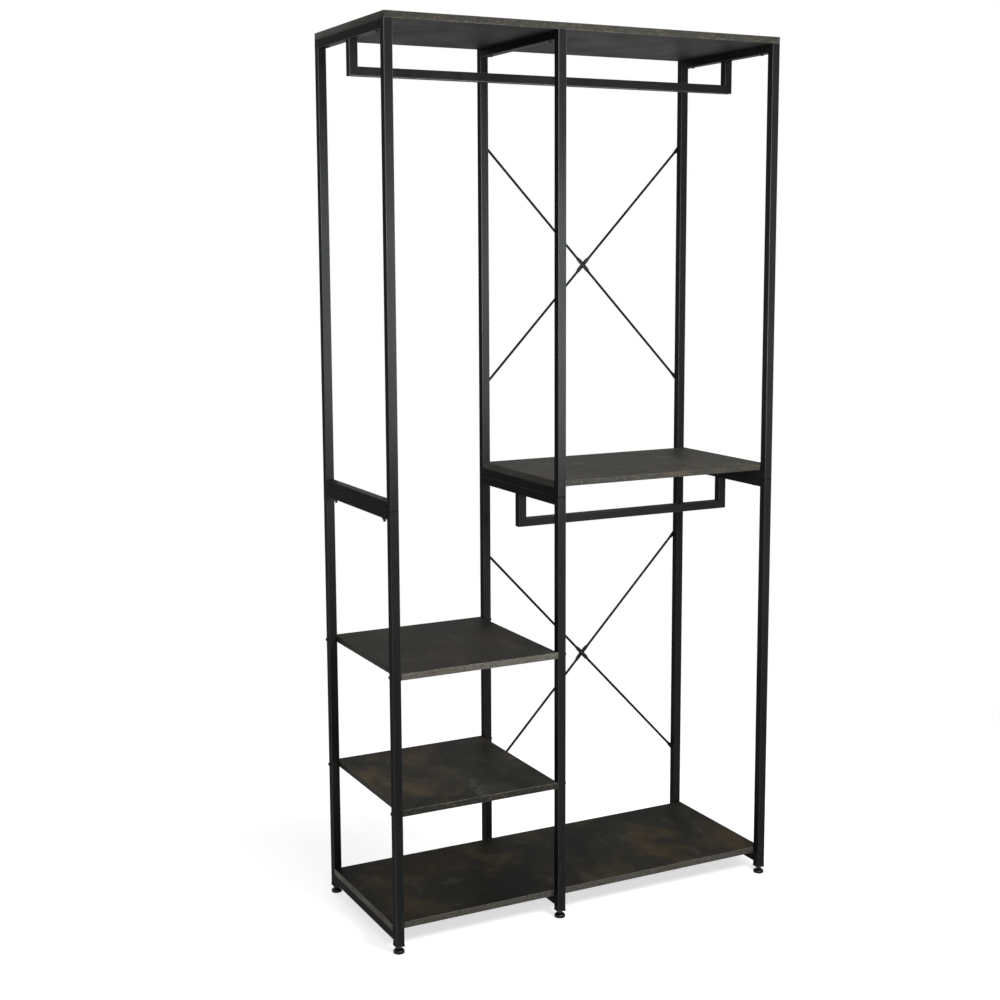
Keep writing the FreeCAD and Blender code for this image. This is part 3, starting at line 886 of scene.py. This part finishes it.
@dataclass
class BraceRod:
    """A round brace rod, pressed flat where it crosses its twin and at both ends.

    Attributes:
        half: Half of the wardrobe that it braces.
        slope: Which way it runs.
        run: Distance between its screws along X.
        rise: Distance between its screws along Z.
        radius: Radius of the round rod.
        flat_width: Width of a pressed flat.
        flat_thickness: Thickness of a pressed flat.
        cross_flat: Half length of the full flat at the crossing.
        press: Length over which the rod goes from flat to round.
        end_press: Distances before a screw where its flat starts and is full, in lengths of press.
        squareness: How square the section of a flat is.
        fine_reach: Close rings past the crossing's flat and before a screw, in lengths of press.
        rings: Rings of the crossing, the round run, an end and its tip.
        tip_share: Share of the tip's quarter circle that the rings reach.
        places: Points round the rod.
    """

    half: Half
    slope: Slope
    run: float = 0.570
    rise: float = 0.598
    radius: float = 0.003
    flat_width: float = 0.010
    flat_thickness: float = 0.0032
    cross_flat: float = 0.013
    press: float = 0.014
    end_press: tuple[float, float] = (1.9, 0.9)
    squareness: float = 2.2
    fine_reach: tuple[float, float] = (1.5, 2.2)
    rings: tuple[int, int, int, int] = (22, 30, 24, 10)
    tip_share: float = 0.97
    places: int = 32

    @property
    def node(self) -> str:
        """CAD node of the rod."""
        return f"{self.half.value}_brace_rod_{self.slope.name.lower()}"

    def stations(self, reach: float) -> np.ndarray:
        """Distances from the crossing, closer together where the section changes.

        Args:
            reach: Distance from the crossing to a screw.

        Returns:
            Array that rises from one tip to the other.
        """
        near = self.cross_flat + self.fine_reach[0] * self.press
        far = reach - self.fine_reach[1] * self.press
        at_cross, at_run, at_end, at_tip = self.rings
        tip = (self.flat_width / 2) * np.sin(np.linspace(0.0, self.tip_share * math.pi / 2, at_tip))
        side = np.concatenate(
            [
                np.linspace(0.0, near, at_cross),
                np.linspace(near, far, at_run)[1:],
                np.linspace(far, reach, at_end)[1:],
                reach + tip[1:],
            ]
        )
        return np.concatenate([-side[:0:-1], side])

    def surface(self) -> Surface:
        """Rod: a super-ellipse whose half width, half thickness and squareness change along a line.

        A point is the crossing, plus the station along the rod, plus half width times the signed
        power of cos across it, plus half thickness times the signed power of sin along Y.

        Returns:
            The surface, with the mark pressed on its flats.
        """
        low, high = corners(self.node)
        reach = math.hypot(self.run, self.rise) / 2
        rear = low[1] + self.flat_thickness
        station = self.stations(reach)
        away = np.abs(station)
        crossing = 1.0 - ease(away, self.cross_flat, self.cross_flat + self.press)
        ending = ease(away, *(reach - times * self.press for times in self.end_press))
        flat = np.maximum(crossing, ending)
        tip = np.sqrt(np.maximum((self.flat_width / 2) ** 2 - np.maximum(away - reach, 0.0) ** 2, 0.0))
        width = np.minimum(self.radius + (self.flat_width / 2 - self.radius) * flat, tip)
        thick = self.radius + (self.flat_thickness / 2 - self.radius) * flat
        lean = self.flat_thickness / 2 * (self.slope.value * crossing - ending)
        power = (1.0 / (1.0 + self.squareness * flat))[:, None]
        turn = np.linspace(0.0, 2 * math.pi, self.places, endpoint=False)[None, :]
        across = width[:, None] * np.sign(np.cos(turn)) * np.abs(np.cos(turn)) ** power
        depth = lean[:, None] + thick[:, None] * np.sign(np.sin(turn)) * np.abs(np.sin(turn)) ** power
        along = np.array([self.run, 0.0, self.slope.value * self.rise]) / (2 * reach)
        aside = np.array([-along[2], 0.0, along[0]])
        middle = np.array([(low[0] + high[0]) / 2, rear, (low[2] + high[2]) / 2])
        rings = (
            middle
            + station[:, None, None] * along
            + across[..., None] * aside
            + depth[..., None] * np.array([0.0, 1.0, 0.0])
        )
        return Surface.skin(rings, marks={"pressed": np.broadcast_to(flat[:, None], across.shape)})

    def build(self) -> None:
        """Puts the rod in place."""
        put(self.surface(), f"{self.node}_drawn", FINISHES[Slot.ROD], replaces=[self.node])


@dataclass
class LevellingFoot:
    """A levelling foot: its stud gets a cut thread and a chamfered hexagonal collar.

    Attributes:
        corner: Which upright it stands under.
        head: Radius of the head in the base.
        neck: Radius between the head and the collar.
        flats: Width of the collar across its flats.
        thread: Outer radius of the thread.
        groove: Depth of the thread.
        pitch: Distance from one turn of the thread to the next.
        turn_steps: Rings in one turn of the thread.
        places: Points round the stud.
        head_z: Lowest and highest level of the head.
        collar_z: Lowest and highest level of the collar.
        top_z: Tip of the stud.
        bevel: Bevel of the head's edges.
        chamfer: Height of the collar's chamfers.
        lip: How far the chamfers go inside the flats.
        lead: Height and slope of the thread's tapered start.
        flank: How steeply the thread's flanks fall.
        crest_flat: Share of the fall that its flat crests take.
    """

    corner: str
    head: float = 0.006
    neck: float = 0.0039
    flats: float = 0.011
    thread: float = 0.004
    groove: float = 0.00068
    pitch: float = 0.00125
    turn_steps: int = 9
    places: int = 48
    head_z: tuple[float, float] = (0.003, 0.0055)
    collar_z: tuple[float, float] = (0.0088, 0.0157)
    top_z: float = 0.0377
    bevel: float = 0.0003
    chamfer: float = 0.0005
    lip: float = 0.0001
    lead: tuple[float, float] = (0.0012, 0.9)
    flank: float = 1.25
    crest_flat: float = 0.12

    @property
    def node(self) -> str:
        """CAD node of the stud, which is its body too."""
        return f"foot_stud_{self.corner}"

    def stud(self) -> Surface:
        """Stud: rings whose radius depends on the height and on the turn about the axis.

        The collar's radius is the half flats over the cosine of the turn from the nearest flat, and
        its chamfers cap it. The thread's radius falls by its depth in a wave of height over pitch
        minus turns, which is a right-hand helix.

        Returns:
            The surface, with the mark crest on the tops of the thread.
        """
        low, high = corners(self.node)
        apothem = self.flats / 2
        peak = apothem / math.cos(math.pi / 6)
        head_low, head_high = self.head_z
        collar_low, collar_high = self.collar_z
        turns = int(round((self.top_z - collar_high) / self.pitch * self.turn_steps))
        shank = np.linspace(collar_high, self.top_z, turns + 1)
        plain = np.array(
            [
                [head_low, self.head - self.bevel],
                [head_low + self.bevel, self.head],
                [head_high - self.bevel, self.head],
                [head_high, self.head - self.bevel],
                [head_high, self.neck],
                [collar_low, self.neck],
            ]
        )
        hexagon = np.array(
            [
                [collar_low, apothem - self.lip],
                [collar_low + self.chamfer, peak],
                [collar_high - self.chamfer, peak],
                [collar_high, apothem - self.lip],
            ]
        )
        taper, slope = self.lead
        lead = self.thread - np.maximum(0.0, shank - (self.top_z - taper)) * slope
        turn = np.linspace(0.0, 2 * math.pi, self.places, endpoint=False)[None, :]
        side = apothem / np.cos(np.mod(turn, math.pi / 3) - math.pi / 6)
        wave = np.mod(shank[:, None] / self.pitch - turn / (2 * math.pi), 1.0)
        dip = np.clip(np.abs(2.0 * wave - 1.0) * self.flank - self.crest_flat, 0.0, 1.0)
        smooth = np.minimum(hexagon[:, 1:], side)
        smooth = np.concatenate([np.repeat(plain[:, 1:], self.places, axis=1), smooth])
        radius = np.concatenate([smooth, np.minimum(lead[:, None], self.thread - self.groove * dip)])
        height = np.concatenate([plain[:, 0], hexagon[:, 0], shank])
        height = np.broadcast_to(height[:, None], radius.shape)
        x, y = (low[:2] + high[:2]) / 2
        rings = np.stack([x + radius * np.cos(turn), y + radius * np.sin(turn), height], axis=-1)
        crest = np.concatenate([np.zeros_like(smooth), 1.0 - dip])
        return Surface.skin(rings, marks={"crest": crest})

    def build(self) -> None:
        """Puts the stud in place, on its own body."""
        name = f"{self.node}_threaded"
        put(self.stud(), name, FINISHES[Slot.STUD], body=self.node, replaces=[self.node])


@dataclass
class Welds:
    """Coated weld beads: in the corners of the ladder frames and over the mitres of the hanging rails.

    Attributes:
        radius: Radius of a bead in a corner.
        mitre_radius: Radius of a bead over a mitre.
        mitre_sunk: Depth of its axis below the face.
        ripple: Share by which the radius swells at each ripple.
        ripple_length: Distance from one ripple to the next.
        inset: Bare length at each end of a joint.
        places: Points round a bead.
        ripple_rings: Rings of one ripple.
        least_rings: Rings of the shortest bead.
        tip: Least share of the radius, squared, at a bead's ends.
    """

    radius: float = 0.0013
    mitre_radius: float = 0.0013
    mitre_sunk: float = 0.001
    ripple: float = 0.14
    ripple_length: float = 0.0021
    inset: float = 0.0016
    places: int = 14
    ripple_rings: int = 6
    least_rings: int = 24
    tip: float = 0.02

    def bead(self, start: Sequence[float], end: Sequence[float], radius: float) -> Surface:
        """Bead: a bar, not an upright one, whose radius ripples and closes in a half circle at each end.

        Args:
            start: One end of its axis.
            end: Other end of its axis.
            radius: Mean radius.

        Returns:
            The surface.
        """
        first, last = np.array(start, float), np.array(end, float)
        length = float(np.linalg.norm(last - first))
        along = (last - first) / length
        side = np.cross(along, np.array([0.0, 0.0, 1.0]))
        side /= np.linalg.norm(side)
        up = np.cross(side, along)
        count = max(self.least_rings, int(length / self.ripple_length * self.ripple_rings))
        station = np.linspace(0.0, length, count)
        close = np.minimum(station, length - station) / radius
        dome = np.sqrt(np.clip(1.0 - (1.0 - np.minimum(close, 1.0)) ** 2, self.tip, 1.0))
        swell = 1.0 + self.ripple * np.cos(2 * math.pi * station / self.ripple_length)
        size = (radius * dome * swell)[:, None, None]
        turn = np.linspace(0.0, 2 * math.pi, self.places, endpoint=False)[None, :, None]
        rings = first + station[:, None, None] * along + size * (np.cos(turn) * side + np.sin(turn) * up)
        return Surface.skin(rings)

    def corner_beads(self) -> Surface:
        """Beads along X, in the open corners between a rail and its uprights.

        Returns:
            One surface of all the beads.
        """
        # Open face of each rail: 0 for its underside, 1 for its top.
        open_faces = {"lower_bottom_rail": 0, "lower_top_rail": 0, "upper_top_rail": 0}
        beads = []
        for ladder in LADDERS:
            faces = dict(open_faces, **({"upper_bottom_rail": 1} if ladder == "left" else {}))
            for rail, face in faces.items():
                box = corners(f"{ladder}_{rail}")
                z = box[face][2]
                for y in (box[0][1], box[1][1]):
                    ends = (box[0][0] + self.inset, y, z), (box[1][0] - self.inset, y, z)
                    beads.append(self.bead(*ends, self.radius))
        return Surface.joined(beads)

    def mitre_beads(self) -> Surface:
        """Low beads over the mitres, on the front and rear faces of the hanging rails.

        Returns:
            One surface of all the beads.
        """
        beads = []
        for rail in ("upper", "lower"):
            low, high = corners(f"{rail}_hanging_bar")
            tube = high[2] - low[2]
            for outer, inward in ((low[0], 1.0), (high[0], -1.0)):
                for y, face in ((low[1], 1.0), (high[1], -1.0)):
                    depth = y + face * self.mitre_sunk
                    start = (outer + inward * self.inset, depth, low[2] + self.inset)
                    end = (outer + inward * (tube - self.inset), depth, high[2] - self.inset)
                    beads.append(self.bead(start, end, self.mitre_radius))
        return Surface.joined(beads)

    def build(self) -> None:
        """Puts all the beads in place."""
        put(self.corner_beads(), "frame_weld_beads", WeldCoat())
        put(self.mitre_beads(), "hanging_rail_weld_beads", WeldCoat())


@dataclass
class CadNodes:
    """The CAD nodes that stay in view, dressed by the slots that the record gives them.

    Attributes:
        record: The part's record, as the frame holds it.
    """

    record: dict

    def dress(self) -> None:
        """Gives each node the finish of its slot."""
        for subpart in self.record["subparts"]:
            node = frame["nodes"][subpart["node"]]
            FINISHES[Slot(subpart["material_slot"])].dress(node)
            LOG.info("node %s in %s", subpart["node"], subpart["material_slot"])


@dataclass
class Softbox:
    """A rectangular studio lamp.

    Attributes:
        name: Name of the lamp.
        place: Where it hangs.
        aim: Point that it faces.
        side: Width and height.
        watts: Power.
    """

    name: str
    place: tuple[float, float, float]
    aim: tuple[float, float, float]
    side: tuple[float, float]
    watts: float

    def build(self) -> None:
        """Hangs the lamp and turns it to its aim."""
        lamp = bpy.data.lights.new(self.name, "AREA")
        lamp.shape = "RECTANGLE"
        lamp.size, lamp.size_y = self.side
        lamp.energy = self.watts
        hung = bpy.data.objects.new(self.name, lamp)
        hung.location = self.place
        hung.rotation_euler = (Vector(self.aim) - Vector(self.place)).to_track_quat("-Z", "Y").to_euler()
        hung.visible_camera = False
        bpy.context.scene.collection.objects.link(hung)


@dataclass
class Studio:
    """White studio: a pale floor that fades into a white surround, and soft lamps.

    Attributes:
        floor_radius: Radius of the floor.
        floor_places: Points round its rim.
        floor_colour: Written colour of the floor.
        floor_roughness: Roughness of the floor.
        floor_glow: Light that the floor adds for the camera, to be white.
        fade: Distances from the middle where the floor starts and ends its fade to white.
        ambient: Level of the light from all round.
        lamps: Softboxes.
    """

    floor_radius: float = 14.0
    floor_places: int = 96
    floor_colour: str = "#c9c9c8"
    floor_roughness: float = 0.9
    floor_glow: float = 0.68
    fade: tuple[float, float] = (0.9, 2.2)
    ambient: float = 0.32
    lamps: tuple[Softbox, ...] = (
        Softbox("key_lamp", (-0.2, -2.4, 3.1), (0.0, 0.0, 1.2), (1.5, 1.5), 33.0),
        Softbox("front_lamp", (0.22, -1.15, 1.365), (0.0, 0.0, 1.38), (0.62, 0.8), 28.5),
        Softbox("edge_lamp", (-1.75, -2.0, 1.7), (0.0, 0.0, 1.6), (0.5, 0.5), 7.0),
        Softbox("rear_lamp", (-0.1, 2.8, 3.2), (0.0, 0.0, 1.0), (1.8, 1.8), 31.0),
    )

    @staticmethod
    def shown(bench: NodeBench) -> Socket:
        """Mask of the rays that see the white surround: camera, glossy and transmission rays.

        Args:
            bench: Bench to lay the mask out on.

        Returns:
            The mask, 0 or 1.
        """
        path = bench.add("ShaderNodeLightPath")
        seen = path.outputs["Is Camera Ray"]
        for name in ("Is Glossy Ray", "Is Transmission Ray"):
            seen = bench.math("MAXIMUM", seen, path.outputs[name])
        return seen

    def surround(self) -> None:
        """White world for the rays that see it, and a plain grey one for light."""
        world = bpy.data.worlds.new("white_surround")
        bpy.context.scene.world = world
        world.use_nodes = True
        bench = NodeBench(world.node_tree)
        output = bench.add("ShaderNodeOutputWorld")
        choice = {0: self.shown(bench)}
        for index, strength in ((1, self.ambient), (2, 1.0)):
            choice[index] = bench.out("ShaderNodeBackground", {"Color": grey(1.0), "Strength": strength})
        bench.feed(output.inputs["Surface"], bench.out("ShaderNodeMixShader", choice))

    def floor_material(self) -> bpy.types.Material:
        """Pale floor: matt near the wardrobe with a little glow, plain white further out.

        Returns:
            The material.
        """
        bench = ShaderBench("pale_floor")
        bench.set(Base_Color=self.floor_colour, Roughness=self.floor_roughness, Specular_IOR_Level=0.0)
        matt, seen = bench.shader.outputs["BSDF"], self.shown(bench)
        glow = bench.out("ShaderNodeEmission", {"Strength": bench.times(seen, self.floor_glow)})
        near = bench.out("ShaderNodeAddShader", {0: matt, 1: glow})
        white = bench.out("ShaderNodeEmission", {"Strength": 1.0})
        far = bench.out("ShaderNodeMixShader", {0: seen, 1: matt, 2: white})
        place = bench.place.outputs["Object"]
        reach = bench.out("ShaderNodeVectorMath", {0: place}, "Value", operation="LENGTH")
        whole = bench.out("ShaderNodeMixShader", {0: bench.step(reach, *self.fade), 1: near, 2: far})
        bench.feed(bench.output.inputs["Surface"], whole)
        return bench.material

    def floor(self) -> None:
        """Round floor: one disc whose points are the radius times cos and sin of the turn."""
        turn = np.linspace(0.0, 2 * math.pi, self.floor_places, endpoint=False)
        rim = np.stack([np.cos(turn), np.sin(turn), np.zeros_like(turn)], axis=1) * self.floor_radius
        mesh = bpy.data.meshes.new("studio_floor")
        mesh.from_pydata(rim.tolist(), [], [list(range(len(turn)))])
        mesh.materials.append(self.floor_material())
        disc = bpy.data.objects.new("studio_floor", mesh)
        bpy.context.scene.collection.objects.link(disc)

    def build(self) -> None:
        """Sets the surround, the floor and the lamps."""
        bpy.context.scene.view_settings.view_transform = "Standard"
        self.surround()
        self.floor()
        for lamp in self.lamps:
            lamp.build()


@dataclass
class Viewpoint:
    """Camera at the photograph's place.

    Attributes:
        place: Where it stands.
        yaw_deg: Turn from straight ahead towards the right.
        pitch_deg: Tilt below the horizon.
        roll_deg: Turn about its own axis.
        focal: Focal length, as a share of the picture's width.
        rise: Shift of the picture, as a share of its width.
        sensor_mm: Width of the sensor.
    """

    place: tuple[float, float, float] = (-1.79396, -3.24765, 1.55455)
    yaw_deg: float = 27.059
    pitch_deg: float = 7.904
    roll_deg: float = 0.261
    focal: float = 1.57164
    rise: float = -0.035
    sensor_mm: float = 36.0

    def build(self) -> None:
        """Makes the camera: its axes are the right, up and backward directions of the view."""
        yaw, pitch, roll = (math.radians(turn) for turn in (self.yaw_deg, self.pitch_deg, self.roll_deg))
        ahead = Vector((math.sin(yaw) * math.cos(pitch), math.cos(yaw) * math.cos(pitch), -math.sin(pitch)))
        level = Vector((math.cos(yaw), -math.sin(yaw), 0.0))
        down = ahead.cross(level)
        right = math.cos(roll) * level + math.sin(roll) * down
        up = math.sin(roll) * level - math.cos(roll) * down
        lens = bpy.data.cameras.new("viewpoint")
        lens.sensor_width = self.sensor_mm
        lens.lens = self.focal * self.sensor_mm
        lens.shift_y = self.rise
        camera = bpy.data.objects.new("viewpoint", lens)
        axes = Matrix((right, up, -ahead)).transposed().to_4x4()
        camera.matrix_world = Matrix.Translation(self.place) @ axes
        bpy.context.scene.collection.objects.link(camera)
        bpy.context.scene.camera = camera


def main() -> None:
    """Builds the wardrobe's looks in order, then the studio and the camera."""
    logging.basicConfig(level=logging.INFO, format="%(name)s: %(message)s")
    CadNodes(frame["record"]).dress()
    # The tone levels of each board partly stand for the light on it: painted shade.
    for board in (
        Board("top_board", tone=0.17, end_tone=0.34, face_tone=1.0, rust=0.8, arris_line=0.6),
        Board("bottom_board", tone=0.65, end_tone=1.0, face_tone=0.42, rust=1.25, arris_line=0.6),
        Board("middle_shelf", tone=0.08, end_tone=0.2, face_tone=1.0, rust=0.4, arris_line=-1.0),
        Board("left_shelf_low", tone=0.02, end_tone=0.0, face_tone=0.65, rust=1.3, arris_line=0.9),
        Board("left_shelf_high", tone=0.85, end_tone=0.0, face_tone=0.46, rust=0.55, arris_line=0.2),
    ):
        board.build()
    for half in Half:
        for slope in Slope:
            BraceRod(half, slope).build()
    for ladder in LADDERS:
        for side in ("front", "rear"):
            LevellingFoot(f"{ladder}_{side}").build()
    Welds().build()
    Studio().build()
    Viewpoint().build()


if __name__ == "__main__":
    main()
